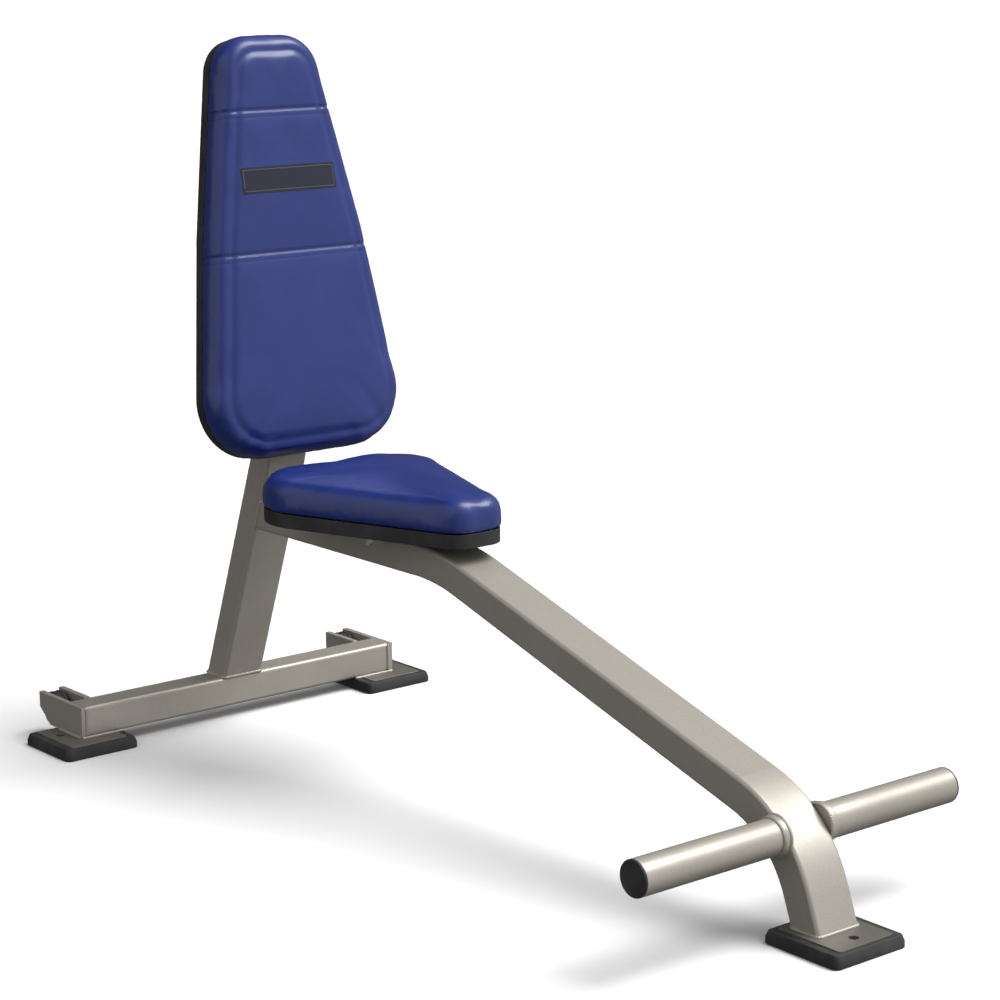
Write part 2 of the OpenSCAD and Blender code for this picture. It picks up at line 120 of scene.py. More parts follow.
def add_node(
    tree: bpy.types.NodeTree,
    kind: str,
    inputs: dict[str, object] | None = None,
    **settings: object,
) -> bpy.types.Node:
    """Adds one shader node with its settings, values and links.

    Args:
        tree: the node tree it goes in.
        kind: the node's type without "ShaderNode".
        inputs: socket name or identifier to a value, or to the socket that feeds it.
        settings: the node's own settings.

    Returns:
        The new node.
    """
    node = tree.nodes.new("ShaderNode" + kind)
    for name, value in settings.items():
        setattr(node, name, value)
    for name, value in (inputs or {}).items():
        socket = next(s for s in node.inputs if name in (s.identifier, s.name))
        if isinstance(value, bpy.types.NodeSocket):
            tree.links.new(value, socket)
        else:
            socket.default_value = value
    return node


def mixed(node: bpy.types.Node) -> bpy.types.NodeSocket:
    """Returns the colour that a Mix node gives out."""
    return next(s for s in node.outputs if s.identifier == "Result_Color")


def new_piece(name: str, bm: bmesh.types.BMesh, body: str) -> bpy.types.Object:
    """Makes an object from a bmesh and sets it riding on a body.

    Args:
        name: the piece's name.
        bm: its mesh in the bench's frame; it is freed.
        body: the body that carries it.

    Returns:
        The new object.
    """
    mesh = bpy.data.meshes.new(name)
    bm.to_mesh(mesh)
    bm.free()
    piece = bpy.data.objects.new(name, mesh)
    bpy.context.scene.collection.objects.link(piece)
    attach(piece, body)
    return piece


def smooth(piece: bpy.types.Object, angle: float = 35.0) -> None:
    """Shades a mesh smooth, apart from edges sharper than an angle.

    Args:
        piece: the object.
        angle: the sharpest edge that still shades smooth, in degrees.
    """
    bm = bmesh.new()
    bm.from_mesh(piece.data)
    for face in bm.faces:
        face.smooth = True
    for edge in bm.edges:
        edge.smooth = len(edge.link_faces) == 2 and edge.calc_face_angle() < math.radians(angle)
    bm.to_mesh(piece.data)
    bm.free()


def node_bmesh(node: str) -> bmesh.types.BMesh:
    """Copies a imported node's mesh, with its loose triangles merged into one skin."""
    bm = bmesh.new()
    bm.from_mesh(bpy.data.objects[node].data)
    bmesh.ops.remove_doubles(bm, verts=bm.verts, dist=0.01 * MM)
    return bm


def chains(edges: list[bmesh.types.BMEdge]) -> list[list[Vector]]:
    """Walks loose edges into closed loops of points.

    Args:
        edges: edges whose ends meet in pairs.

    Returns:
        Each loop's points in order.
    """
    left = set(edges)
    loops: list[list[Vector]] = []
    while left:
        edge = left.pop()
        start, here = edge.verts
        loop = [start.co.copy()]
        while here is not start:
            loop.append(here.co.copy())
            step = next((e for e in here.link_edges if e in left), None)
            if step is None:
                break
            left.discard(step)
            here = step.other_vert(here)
        loops.append(loop)
    return loops


def perimeter(loop: list[Vector]) -> float:
    """Length round a closed loop of points."""
    return sum((a - b).length for a, b in zip(loop, loop[1:] + loop[:1]))


def section(bm: bmesh.types.BMesh, point: Vector, normal: Vector) -> list[Vector]:
    """Cuts a closed skin with a plane.

    Args:
        bm: the skin; it is used up.
        point: a point on the plane.
        normal: the plane's normal.

    Returns:
        The longest closed loop of the cut, in order.
    """
    cut = bmesh.ops.bisect_plane(
        bm, geom=bm.verts[:] + bm.edges[:] + bm.faces[:], plane_co=point, plane_no=normal
    )
    edges = [g for g in cut["geom_cut"] if isinstance(g, bmesh.types.BMEdge)]
    loops = chains(edges)
    bm.free()
    return max(loops, key=perimeter)


def resampled(loop: list[Vector], step: float, closed: bool = True) -> list[Vector]:
    """Spaces points evenly along a path.

    Args:
        loop: the path's points.
        step: wanted distance between points.
        closed: whether the path closes on itself.

    Returns:
        Evenly spaced points, at least eight.
    """
    path = np.array(loop + loop[:1] if closed else loop, float)
    along = np.concatenate([[0], np.cumsum(np.linalg.norm(np.diff(path, axis=0), axis=1))])
    count = max(8, round(along[-1] / step))
    at = np.linspace(0, along[-1], count, endpoint=not closed)
    return [Vector(p) for p in np.stack([np.interp(at, along, path[:, i]) for i in range(3)], 1)]


def bead(points: list[Vector], radii: list[float], closed: bool, sides: int = 2) -> bpy.types.Mesh:
    """Runs a round bar of changing radius along a path.

    Args:
        points: the path.
        radii: the bar's radius at each point.
        closed: whether the path closes on itself.
        sides: the bar's roundness, as a curve's bevel resolution.

    Returns:
        The bar's mesh.
    """
    curve = bpy.data.curves.new("bead", "CURVE")
    curve.dimensions = "3D"
    curve.bevel_depth = 1.0
    curve.bevel_resolution = sides
    curve.use_fill_caps = not closed
    spline = curve.splines.new("POLY")
    spline.points.add(len(points) - 1)
    for spot, place, radius in zip(spline.points, points, radii):
        spot.co = (*place, 1.0)
        spot.radius = radius
    spline.use_cyclic_u = closed
    holder = bpy.data.objects.new("bead", curve)
    bpy.context.scene.collection.objects.link(holder)
    bpy.context.view_layer.update()
    evaluated = holder.evaluated_get(bpy.context.evaluated_depsgraph_get())
    mesh = bpy.data.meshes.new_from_object(evaluated)
    bpy.data.objects.remove(holder)
    bpy.data.curves.remove(curve)
    return mesh


def apply_modifiers(piece: bpy.types.Object) -> None:
    """Bakes a piece's modifiers into its mesh."""
    evaluated = piece.evaluated_get(bpy.context.evaluated_depsgraph_get())
    mesh = bpy.data.meshes.new_from_object(evaluated)
    old = piece.data
    piece.modifiers.clear()
    piece.data = mesh
    bpy.data.meshes.remove(old)


def spun(profile: list[tuple[float, float]], steps: int) -> bmesh.types.BMesh:
    """Turns a half profile round the local X axis.

    Args:
        profile: (x, radius) points from one end to the other.
        steps: segments round.

    Returns:
        The closed skin.
    """
    bm = bmesh.new()
    verts = [bm.verts.new((x, 0, r)) for x, r in profile]
    edges = [bm.edges.new(pair) for pair in zip(verts, verts[1:])]
    bmesh.ops.spin(
        bm, geom=verts + edges, cent=(0, 0, 0), axis=(1, 0, 0), angle=math.tau, steps=steps,
        use_merge=True, use_duplicate=False,
    )
    bmesh.ops.remove_doubles(bm, verts=bm.verts, dist=0.001 * MM)
    bmesh.ops.recalc_face_normals(bm, faces=bm.faces)
    return bm


# ---- Finishes ----


@dataclass(frozen=True)
class Finish:
    """What every finish has: its name and the start of its node tree."""

    name: str

    def start(self) -> tuple[bpy.types.Material, bpy.types.NodeTree, bpy.types.Node, bpy.types.NodeSocket]:
        """Makes the material with its surface shader and object coordinates.

        Returns:
            The material, its tree, its surface shader and the coordinates' socket.
        """
        material = bpy.data.materials.new(self.name)
        material.use_nodes = True
        tree = material.node_tree
        tree.nodes.clear()
        shader = add_node(tree, "BsdfPrincipled")
        add_node(tree, "OutputMaterial", {"Surface": shader.outputs[0]})
        place = add_node(tree, "TexCoord").outputs["Object"]
        return material, tree, shader, place

    def build(self) -> bpy.types.Material:
        """Makes the material; each finish has its own."""
        raise NotImplementedError


@dataclass(frozen=True)
class PowderCoat(Finish):
    """Silver champagne polyester powder coat on steel, sprayed and baked.

    It gives a satin metallic skin with faint orange peel, tiny bright flakes, and duller,
    dustier patches where it is handled.
    """

    base: str = "BDB8AF"
    shade: str = "9D978E"
    peel_mm: float = 2.6
    flake_mm: float = 0.9
    metallic: float = 0.45
    roughness: float = 0.40

    def build(self) -> bpy.types.Material:
        """Makes the powder coat."""
        material, tree, shader, place = self.start()
        cloud = add_node(tree, "TexNoise", {"Vector": place, "Scale": 7.0, "Detail": 4.0})
        # Flakes are drawn coarser than the real 0.05 mm ones, so that they still show.
        flake = add_node(tree, "TexVoronoi", {"Vector": place, "Scale": 1 / (self.flake_mm * MM)})
        flake_hue = add_node(tree, "SeparateColor", {"Color": flake.outputs["Color"]})
        glint = add_node(
            tree, "MapRange",
            {"Value": flake_hue.outputs[0], "From Min": 0.0, "From Max": 1.0, "To Min": 0.93, "To Max": 1.08},
        )
        tint = add_node(
            tree, "Mix",
            {"Factor_Float": cloud.outputs["Fac"], "A_Color": linear(self.shade), "B_Color": linear(self.base)},
            data_type="RGBA",
        )
        lit = add_node(
            tree, "VectorMath", {"Vector": mixed(tint), "Scale": glint.outputs[0]},
            operation="SCALE",
        )
        dull = add_node(
            tree, "MapRange",
            {"Value": cloud.outputs["Fac"], "From Min": 0.35, "From Max": 0.7,
             "To Min": self.roughness + 0.06, "To Max": self.roughness - 0.04},
        )
        peel = add_node(
            tree, "TexNoise", {"Vector": place, "Scale": 1 / (self.peel_mm * MM), "Detail": 1.0}
        )
        bump = add_node(
            tree, "Bump", {"Height": peel.outputs["Fac"], "Strength": 0.12, "Distance": 0.10 * MM}
        )
        tree.links.new(lit.outputs[0], shader.inputs["Base Color"])
        tree.links.new(dull.outputs[0], shader.inputs["Roughness"])
        tree.links.new(bump.outputs[0], shader.inputs["Normal"])
        shader.inputs["Metallic"].default_value = self.metallic
        return material


@dataclass(frozen=True)
class Vinyl(Finish):
    """Royal blue calendered vinyl with an embossed leather grain.

    It gives a semi-gloss skin with soft streaks of light, a fine pebble and slight mottling.
    """

    base: str = "0E2168"
    light: str = "163080"
    grain_mm: float = 2.2
    roughness: float = 0.36

    def build(self) -> bpy.types.Material:
        """Makes the vinyl."""
        material, tree, shader, place = self.start()
        mottle = add_node(tree, "TexNoise", {"Vector": place, "Scale": 16.0, "Detail": 5.0})
        colour = add_node(
            tree, "Mix",
            {"Factor_Float": mottle.outputs["Fac"], "A_Color": linear(self.base), "B_Color": linear(self.light)},
            data_type="RGBA",
        )
        sheen = add_node(
            tree, "MapRange",
            {"Value": mottle.outputs["Fac"], "From Min": 0.3, "From Max": 0.7,
             "To Min": self.roughness - 0.03, "To Max": self.roughness + 0.05},
        )
        # The real pebble is about 1 mm and is drawn twice as coarse, so that it shows.
        wobble = add_node(tree, "TexNoise", {"Vector": place, "Scale": 220.0, "Detail": 2.0})
        pebble = add_node(
            tree, "TexVoronoi", {"Vector": place, "Scale": 1 / (self.grain_mm * MM), "Randomness": 0.9},
            feature="SMOOTH_F1",
        )
        creases = add_node(
            tree, "TexNoise", {"Vector": place, "Scale": 26.0, "Detail": 3.0, "Distortion": 0.6}
        )
        height = add_node(
            tree, "Math",
            {"Value": pebble.outputs["Distance"], "Value_001": -0.5, "Value_002": wobble.outputs["Fac"]},
            operation="MULTIPLY_ADD",
        )
        soft = add_node(
            tree, "Bump", {"Height": creases.outputs["Fac"], "Strength": 0.25, "Distance": 1.6 * MM}
        )
        bump = add_node(
            tree, "Bump",
            {"Height": height.outputs[0], "Strength": 0.22, "Distance": 0.18 * MM,
             "Normal": soft.outputs[0]},
        )
        tree.links.new(mixed(colour), shader.inputs["Base Color"])
        tree.links.new(sheen.outputs[0], shader.inputs["Roughness"])
        tree.links.new(bump.outputs[0], shader.inputs["Normal"])
        shader.inputs["IOR"].default_value = 1.54
        shader.inputs["Coat Weight"].default_value = 0.15
        shader.inputs["Coat Roughness"].default_value = 0.25
        return material


@dataclass(frozen=True)
class Moulded(Finish):
    """Moulded plastic or rubber: a spark-eroded or sanded mould's texture in one colour.

    ABS gives a satin black with a fine even grain, LDPE plugs a softer charcoal, and rubber a
    dull black with dusty patches.
    """

    base: str = "1E1E20"
    dust: str = "34343A"
    grain_mm: float = 1.2
    depth_mm: float = 0.12
    roughness: float = 0.55
    ior: float = 1.5

    def build(self) -> bpy.types.Material:
        """Makes the moulded finish."""
        material, tree, shader, place = self.start()
        patch = add_node(tree, "TexNoise", {"Vector": place, "Scale": 22.0, "Detail": 6.0})
        fall = add_node(
            tree, "MapRange", {"Value": patch.outputs["Fac"], "From Min": 0.42, "From Max": 0.75}
        )
        colour = add_node(
            tree, "Mix",
            {"Factor_Float": fall.outputs[0], "A_Color": linear(self.base), "B_Color": linear(self.dust)},
            data_type="RGBA",
        )
        dull = add_node(
            tree, "MapRange",
            {"Value": patch.outputs["Fac"], "From Min": 0.3, "From Max": 0.7,
             "To Min": self.roughness - 0.05, "To Max": self.roughness + 0.08},
        )
        grain = add_node(
            tree, "TexNoise", {"Vector": place, "Scale": 1 / (self.grain_mm * MM), "Detail": 2.0}
        )
        bump = add_node(
            tree, "Bump",
            {"Height": grain.outputs["Fac"], "Strength": 0.35, "Distance": self.depth_mm * MM},
        )
        tree.links.new(mixed(colour), shader.inputs["Base Color"])
        tree.links.new(dull.outputs[0], shader.inputs["Roughness"])
        tree.links.new(bump.outputs[0], shader.inputs["Normal"])
        shader.inputs["IOR"].default_value = self.ior
        return material


@dataclass(frozen=True)
class ZincPlate(Finish):
    """Bright zinc plate on steel fasteners, barrel plated and clear passivated.

    It gives a cool grey metal with a faint spangle and handling marks.
    """

    base: str = "B9BCC0"
    shade: str = "8E9196"
    spangle_mm: float = 3.0

    def build(self) -> bpy.types.Material:
        """Makes the zinc plate."""
        material, tree, shader, place = self.start()
        spangle = add_node(tree, "TexVoronoi", {"Vector": place, "Scale": 1 / (self.spangle_mm * MM)})
        part = add_node(tree, "SeparateColor", {"Color": spangle.outputs["Color"]})
        colour = add_node(
            tree, "Mix",
            {"Factor_Float": part.outputs[0], "A_Color": linear(self.shade), "B_Color": linear(self.base)},
            data_type="RGBA",
        )
        rub = add_node(tree, "TexNoise", {"Vector": place, "Scale": 300.0, "Detail": 3.0})
        rough = add_node(
            tree, "MapRange",
            {"Value": rub.outputs["Fac"], "From Min": 0.3, "From Max": 0.7, "To Min": 0.26, "To Max": 0.42},
        )
        tree.links.new(mixed(colour), shader.inputs["Base Color"])
        tree.links.new(rough.outputs[0], shader.inputs["Roughness"])
        shader.inputs["Metallic"].default_value = 1.0
        return material


@dataclass(frozen=True)
class Plywood(Finish):
    """Raw poplar plywood: pale fibres along the sheet, laid up in thin plies.

    It gives a warm tan with long grain streaks and darker lines at the edges.
    """

    base: str = "C9A878"
    grain: str = "A47F4E"
    streak_mm: float = 4.0

    def build(self) -> bpy.types.Material:
        """Makes the plywood."""
        material, tree, shader, place = self.start()
        long = add_node(
            tree, "Mapping", {"Vector": place, "Scale": (1 / (self.streak_mm * MM), 12.0, 160.0)}
        )
        streak = add_node(tree, "TexNoise", {"Vector": long.outputs[0], "Scale": 1.0, "Detail": 5.0})
        colour = add_node(
            tree, "Mix",
            {"Factor_Float": streak.outputs["Fac"], "A_Color": linear(self.grain), "B_Color": linear(self.base)},
            data_type="RGBA",
        )
        bump = add_node(
            tree, "Bump", {"Height": streak.outputs["Fac"], "Strength": 0.3, "Distance": 0.2 * MM}
        )
        tree.links.new(mixed(colour), shader.inputs["Base Color"])
        tree.links.new(bump.outputs[0], shader.inputs["Normal"])
        shader.inputs["Roughness"].default_value = 0.75
        return material


@dataclass(frozen=True)
class WovenCloth(Finish):
    """Woven polyester: bonded sewing thread, or the tape of the label.

    It gives a soft sheen broken up by the twist or the weave.
    """

    base: str = "5B6FB4"
    shade: str = "3C4E93"
    thread_mm: float = 0.8

    def build(self) -> bpy.types.Material:
        """Makes the woven cloth."""
        material, tree, shader, place = self.start()
        weft = add_node(
            tree, "TexWave", {"Vector": place, "Scale": 0.314 / (self.thread_mm * MM), "Distortion": 0.4},
            bands_direction="X",
        )
        warp = add_node(
            tree, "TexWave", {"Vector": place, "Scale": 0.314 / (self.thread_mm * MM), "Distortion": 0.4},
            bands_direction="Z",
        )
        weave = add_node(
            tree, "Math", {"Value": weft.outputs["Fac"], "Value_001": warp.outputs["Fac"]},
            operation="MULTIPLY",
        )
        colour = add_node(
            tree, "Mix",
            {"Factor_Float": weave.outputs[0], "A_Color": linear(self.shade), "B_Color": linear(self.base)},
            data_type="RGBA",
        )
        bump = add_node(
            tree, "Bump", {"Height": weave.outputs[0], "Strength": 0.5, "Distance": 0.2 * MM}
        )
        tree.links.new(mixed(colour), shader.inputs["Base Color"])
        tree.links.new(bump.outputs[0], shader.inputs["Normal"])
        shader.inputs["Roughness"].default_value = 0.6
        return material


POWDER_COAT = PowderCoat("silver_champagne_powder_coat")
# The frame's own powder coat, made darker for the foot plates: painted shade, for the shade they lie in low under
# the frame.
SHADED_FOOT_PLATE_COAT = PowderCoat("dark_bronze_powder_coat", base="77736C", shade="5E5A54", metallic=0.3, roughness=0.5)
ROYAL_VINYL = Vinyl("royal_blue_leather_grain_vinyl")
BLACK_ABS = Moulded("black_textured_abs")
CHARCOAL_LDPE = Moulded("charcoal_ldpe_plug", base="2A2A2B", dust="3A3A3C", roughness=0.5, depth_mm=0.08)
BLACK_RUBBER = Moulded("black_moulded_rubber", base="232325", dust="3E3D3E", grain_mm=1.8, roughness=0.72, ior=1.52)
WHEEL_RUBBER = Moulded("black_solid_wheel_rubber", base="161617", dust="2B2A2A", grain_mm=1.5, roughness=0.62)
NATURAL_NYLON = Moulded("natural_nylon", base="D9D4C4", dust="C4BEAC", depth_mm=0.04, roughness=0.42, ior=1.53)
ZINC = ZincPlate("bright_zinc_plate")
PLY = Plywood("poplar_plywood")
THREAD = WovenCloth("blue_bonded_thread", base="1C2F78", shade="122058")
LABEL_TAPE = WovenCloth("navy_woven_label", base="161D36", shade="0D1326", thread_mm=1.1)
LABEL_THREAD = WovenCloth("silver_bonded_thread", base="A9AFC0", shade="7A8094")


@dataclass
class Palette:
    """Every finish made once, to be given to the pieces that have it."""

    made: dict[str, bpy.types.Material] = field(default_factory=dict)

    def get(self, finish: Finish) -> bpy.types.Material:
        """Returns a finish's material, making it on first use."""
        if finish.name not in self.made:
            self.made[finish.name] = finish.build()
        return self.made[finish.name]

    def dress(self, piece: bpy.types.Object, finish: Finish) -> None:
        """Gives a whole piece one finish."""
        piece.data.materials.clear()
        piece.data.materials.append(self.get(finish))


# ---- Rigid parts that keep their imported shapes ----


@dataclass
class RigidParts:
    """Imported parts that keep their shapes: finishes, rounded edges and shading."""

    palette: Palette
    edge_mm: float = 0.7
    plate_edge_mm: float = 1.0
    shell_edge_mm: float = 2.2
    rubber_edge_mm: float = 1.6

    def dress(self, nodes: dict[str, bpy.types.Object]) -> None:
        """Gives each node its finish and rounds its sharp edges.

        Args:
            nodes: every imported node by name.
        """
        for name, node in nodes.items():
            finish, edge = self.finish_of(name)
            self.palette.dress(node, finish)
            self.round_edges(node, edge)
            LOG.info("dressed %s as %s", name, finish.name)

    def finish_of(self, name: str) -> tuple[Finish, float]:
        """Picks a node's finish and its edge rounding, in millimetres.

        Args:
            name: the node's name.

        Returns:
            The finish and the rounding.
        """
        rules: list[tuple[tuple[str, ...], Finish, float]] = [
            # Foot plates get the frame's powder coat darkened as painted shade.
            (("foot_plate",), SHADED_FOOT_PLATE_COAT, self.plate_edge_mm),
            (("rubber_foot",), BLACK_RUBBER, self.rubber_edge_mm),
            (("transport_wheel",), WHEEL_RUBBER, 0.5),
            (("bush",), NATURAL_NYLON, 0.2),
            (("bolt", "washer", "nuts"), ZINC, 0.35),
            (("board",), PLY, 0.3),
            (("shell",), BLACK_ABS, self.shell_edge_mm),
            (("_pad",), ROYAL_VINYL, 0.0),
            (("plug", "cap"), CHARCOAL_LDPE, 0.9),
            (("bracket", "plate"), POWDER_COAT, self.plate_edge_mm),
        ]
        for words, finish, edge in rules:
            if any(word in name for word in words):
                return finish, edge
        return POWDER_COAT, self.edge_mm

    def round_edges(self, node: bpy.types.Object, edge: float) -> None:
        """Adds live merging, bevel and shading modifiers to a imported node.

        Args:
            node: the node's object; its own mesh isn't changed.
            edge: the rounding in millimetres, or 0 for none.
        """
        node.data.shade_smooth()
        weld = node.modifiers.new("merge", "WELD")
        weld.merge_threshold = 0.01 * MM
        plain = node.modifiers.new("flats", "DECIMATE")
        plain.decimate_type = "DISSOLVE"
        plain.angle_limit = math.radians(0.5)
        if edge:
            bevel = node.modifiers.new("edges", "BEVEL")
            bevel.width = edge * MM
            bevel.segments = 2
            bevel.limit_method = "ANGLE"
            bevel.angle_limit = math.radians(38)
            bevel.harden_normals = False
            bevel.use_clamp_overlap = True
        flat = node.modifiers.new("shading", "WEIGHTED_NORMAL")
        flat.keep_sharp = False
        flat.weight = 90


@dataclass
class WeldSeams:
    """Fillet welds of the frame, laid as overlapping ripples along each joint."""

    palette: Palette
    radius_mm: float = 2.9
    ripple_mm: float = 3.4
    per_ripple: int = 5
    post_lean_deg: float = 20.3
    body: str = "frame"

    def lay(self, name: str, loop: list[Vector], closed: bool = True) -> bpy.types.Object:
        """Lays one bead.

        Args:
            name: the piece's name.
            loop: the joint's path.
            closed: whether the joint goes all the way round.

        Returns:
            The bead.
        """
        path = resampled(loop, self.ripple_mm * MM / self.per_ripple, closed)
        radii = [
            self.radius_mm * MM * (0.86 + 0.14 * abs(math.sin(math.pi * i / self.per_ripple)))
            for i in range(len(path))
        ]
        mesh = bead(path, radii, closed, 1)
        bm = bmesh.new()
        bm.from_mesh(mesh)
        piece = new_piece(name, bm, self.body)
        smooth(piece, 80)
        self.palette.dress(piece, POWDER_COAT)
        LOG.info("laid %s, %d faces", name, len(piece.data.polygons))
        return piece

    def round_section(self, name: str, node: str, point: Vector, normal: Vector) -> None:
        """Lays a bead where a plane cuts a node.

        Args:
            name: the piece's name.
            node: the tube that meets the plane.
            point: a point on the plane.
            normal: the plane's normal, towards the tube.
        """
        self.lay(name, section(node_bmesh(node), point, normal))

    def circle(self, name: str, centre: Vector, radius: float) -> None:
        """Lays a round bead about an axis along X.

        Args:
            name: the piece's name.
            centre: the circle's centre.
            radius: the circle's radius.
        """
        turn = [math.tau * i / 48 for i in range(48)]
        self.lay(name, [centre + radius * Vector((0, math.cos(a), math.sin(a))) for a in turn])

    def build(self) -> None:
        """Lays every weld that shows."""
        bar_low, bar_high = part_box("rear_crossbar")
        up = Vector((0, 0, 1))
        off = 0.3 * MM
        self.round_section("weld_post_foot", "upright_post", Vector((0, 0, bar_high.z + off)), up)
        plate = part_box("front_foot_plate")[1]
        self.round_section("weld_leg_foot", "main_beam", Vector((0, 0, plate.z + off)), up)
        lean = math.radians(self.post_lean_deg)
        face = Vector((0, bar_low.y, bar_high.z))
        out = Vector((0, -math.cos(lean), -math.sin(lean)))
        self.round_section("weld_beam_end", "main_beam", face + off * out, out)
        for side in Side:
            s = side.value
            low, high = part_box("bar_collar_" + side.word)
            inner, outer = sorted((low.x, high.x), key=abs)
            middle = (low + high) / 2
            radius = (high.z - low.z) / 2
            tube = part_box("foot_bar_" + side.word)
            tube_radius = (tube[1].z - tube[0].z) / 2
            at = Vector((inner + s * off, middle.y, middle.z))
            self.circle("weld_collar_leg_" + side.word, at, radius - 0.6 * MM)
            at = Vector((outer, middle.y, middle.z))
            self.circle("weld_collar_bar_" + side.word, at, tube_radius + 0.4 * MM)
            self.bracket_welds(side)

    def bracket_welds(self, side: Side) -> None:
        """Lays the welds of the crossbar's end and the inner bracket.

        Args:
            side: the side of the bench.
        """
        s = side.value
        low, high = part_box("rear_crossbar")
        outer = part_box("outer_wheel_bracket_" + side.word)
        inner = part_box("inner_wheel_bracket_" + side.word)
        x = s * high.x
        stop = 4 * MM
        front = [Vector((x, low.y, low.z + stop)), Vector((x, low.y, high.z - stop))]
        self.lay("weld_bracket_front_" + side.word, front, False)
        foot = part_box("rear_foot_plate_" + side.word)[1].z
        rail = [Vector((x - s * 70 * MM, low.y, foot)), Vector((x + s * 8 * MM, low.y, foot))]
        self.lay("weld_crossbar_foot_" + side.word, rail, False)
        rail = [Vector((s * outer[1].x if s > 0 else outer[0].x, low.y + 4 * MM, foot)),
                Vector((s * outer[1].x if s > 0 else outer[0].x, high.y + 20 * MM, foot))]
        self.lay("weld_bracket_foot_" + side.word, rail, False)
        near = inner[0].x if s > 0 else inner[1].x
        stand = [Vector((near, high.y, foot + 2 * MM)), Vector((near, high.y, high.z - 2 * MM))]
        self.lay("weld_inner_bracket_" + side.word, stand, False)


# ---- Pads ----


@dataclass
class Pad:
    """One upholstered pad: foam over a board, vinyl drawn down into a black backing tray."""

    palette: Palette
    name: str
    node: str
    shell: str
    lean_deg: float
    thick_mm: float
    round_mm: float
    crown_mm: float
    seams_mm: tuple[float, ...] = ()
    twin_mm: float = 10.0
    valley_mm: float = 0.0
    valley_in_mm: float = 34.0
    voxel_mm: float = 5.0
    start_in_mm: float = 2.5
    groove_mm: float = 2.0
    body: str = "frame"
    shell_h_mm: float = 18.0

    def place(self) -> Matrix:
        """Works out the pad's own frame from its backing tray.

        Returns:
            The matrix from the pad's frame, with Y along the pad from its lower or front end
            and Z out of the cushion from the tray's underside, to the bench's frame.
        """
        turn = Matrix.Identity(4)
        if self.lean_deg:
            turn = Matrix.Rotation(math.radians(90 - self.lean_deg), 4, "X")
        back = turn.inverted()
        points = np.array([back @ v.co for v in bpy.data.objects[self.shell].data.vertices])
        low = points.min(0)
        return turn @ Matrix.Translation((0, low[1], low[2]))

    def outline(self) -> list[Vector]:
        """Finds the cushion's outline in the pad's frame.

        Returns:
            The outline's points at the tray's rim, evenly spaced.
        """
        bm = node_bmesh(self.node)
        bmesh.ops.transform(bm, matrix=self.place().inverted(), verts=bm.verts)
        rim = Vector((0, 0, (self.shell_h_mm + 1.5) * MM))
        return resampled(section(bm, rim, Vector((0, 0, 1))), 6 * MM)

    def edge_distance(self, points: np.ndarray) -> np.ndarray:
        """Measures how far points lie inside the outline.

        Args:
            points: N x 3 points in the pad's frame.

        Returns:
            The distance in from the outline for each.
        """
        ring = np.array(self.outline())[:, :2]
        a, b = ring, np.roll(ring, -1, 0)
        ab = b - a
        best = np.full(len(points), 1e9)
        for start, along in zip(a, ab):
            rel = points[:, :2] - start
            t = np.clip(rel @ along / (along @ along), 0, 1)
            gap = np.linalg.norm(rel - t[:, None] * along, axis=1)
            best = np.minimum(best, gap)
        return best

    def block(self) -> bmesh.types.BMesh:
        """Builds the cushion before it swells: the outline with a rounded shoulder.

        Returns:
            The closed skin in the pad's frame.
        """
        bm = bmesh.new()
        low = self.shell_h_mm * MM
        face = bm.faces.new([bm.verts.new((p.x, p.y, low)) for p in self.outline()])
        bm.normal_update()
        if face.normal.z < 0:
            face.normal_flip()
        bmesh.ops.inset_region(bm, faces=[face], thickness=self.start_in_mm * MM, depth=0)
        bmesh.ops.delete(bm, geom=[f for f in bm.faces if f is not face], context="FACES")
        grown = bmesh.ops.extrude_face_region(bm, geom=[face], use_keep_orig=True)["geom"]
        face = next(g for g in grown if isinstance(g, bmesh.types.BMFace))
        wall = (self.thick_mm - self.round_mm) * MM
        bmesh.ops.translate(bm, verts=face.verts[:], vec=(0, 0, wall))
        steps = 7
        for i in range(steps):
            a, b = (math.pi / 2 * k / steps for k in (i, i + 1))
            inward = self.round_mm * MM * (math.cos(a) - math.cos(b))
            rise = self.round_mm * MM * (math.sin(b) - math.sin(a))
            bmesh.ops.inset_region(bm, faces=[face], thickness=inward, depth=rise)
        bmesh.ops.remove_doubles(bm, verts=bm.verts, dist=0.05 * MM)
        bmesh.ops.recalc_face_normals(bm, faces=bm.faces)
        return bm

    def swell(self, piece: bpy.types.Object) -> None:
        """Inflates the cushion as cloth over foam, held at the tray and the seams.

        Args:
            piece: the cushion, in the pad's frame at the origin.
        """
        points = np.array([v.co for v in piece.data.vertices])
        hold = np.clip(1 - (points[:, 2] - self.shell_h_mm * MM) / (8 * MM), 0, 1)
        for seam in self.seams_mm:
            near = np.clip(1 - np.abs(points[:, 1] - seam * MM) / (7 * MM), 0, 1)
            hold = np.maximum(hold, 0.35 * near)
        group = piece.vertex_groups.new(name="held")
        for i in np.nonzero(hold > 0.01)[0]:
            group.add([int(i)], float(hold[i]), "REPLACE")
        cloth = piece.modifiers.new("swell", "CLOTH")
        cloth.settings.use_pressure = True
        cloth.settings.uniform_pressure_force = 4.0
        cloth.settings.vertex_group_mass = "held"
        cloth.settings.effector_weights.gravity = 0.0
        cloth.settings.tension_stiffness = 25
        cloth.settings.compression_stiffness = 25
        cloth.settings.bending_stiffness = 2.0
        cloth.point_cache.frame_start = 1
        cloth.point_cache.frame_end = 20
        scene = bpy.context.scene
        for frame in range(1, 21):
            scene.frame_set(frame)
        apply_modifiers(piece)
        scene.frame_set(1)
        after = np.array([v.co for v in piece.data.vertices])
        move = after - points
        size = np.linalg.norm(move, axis=1, keepdims=True)
        cap = self.crown_mm * MM
        top = max(float(np.percentile(size, 99)), 1e-6)
        moved = points + move / np.maximum(size, 1e-9) * cap * np.minimum(size / top, 1.0)
        piece.data.vertices.foreach_set("co", moved.astype(np.float32).ravel())
        piece.data.update()

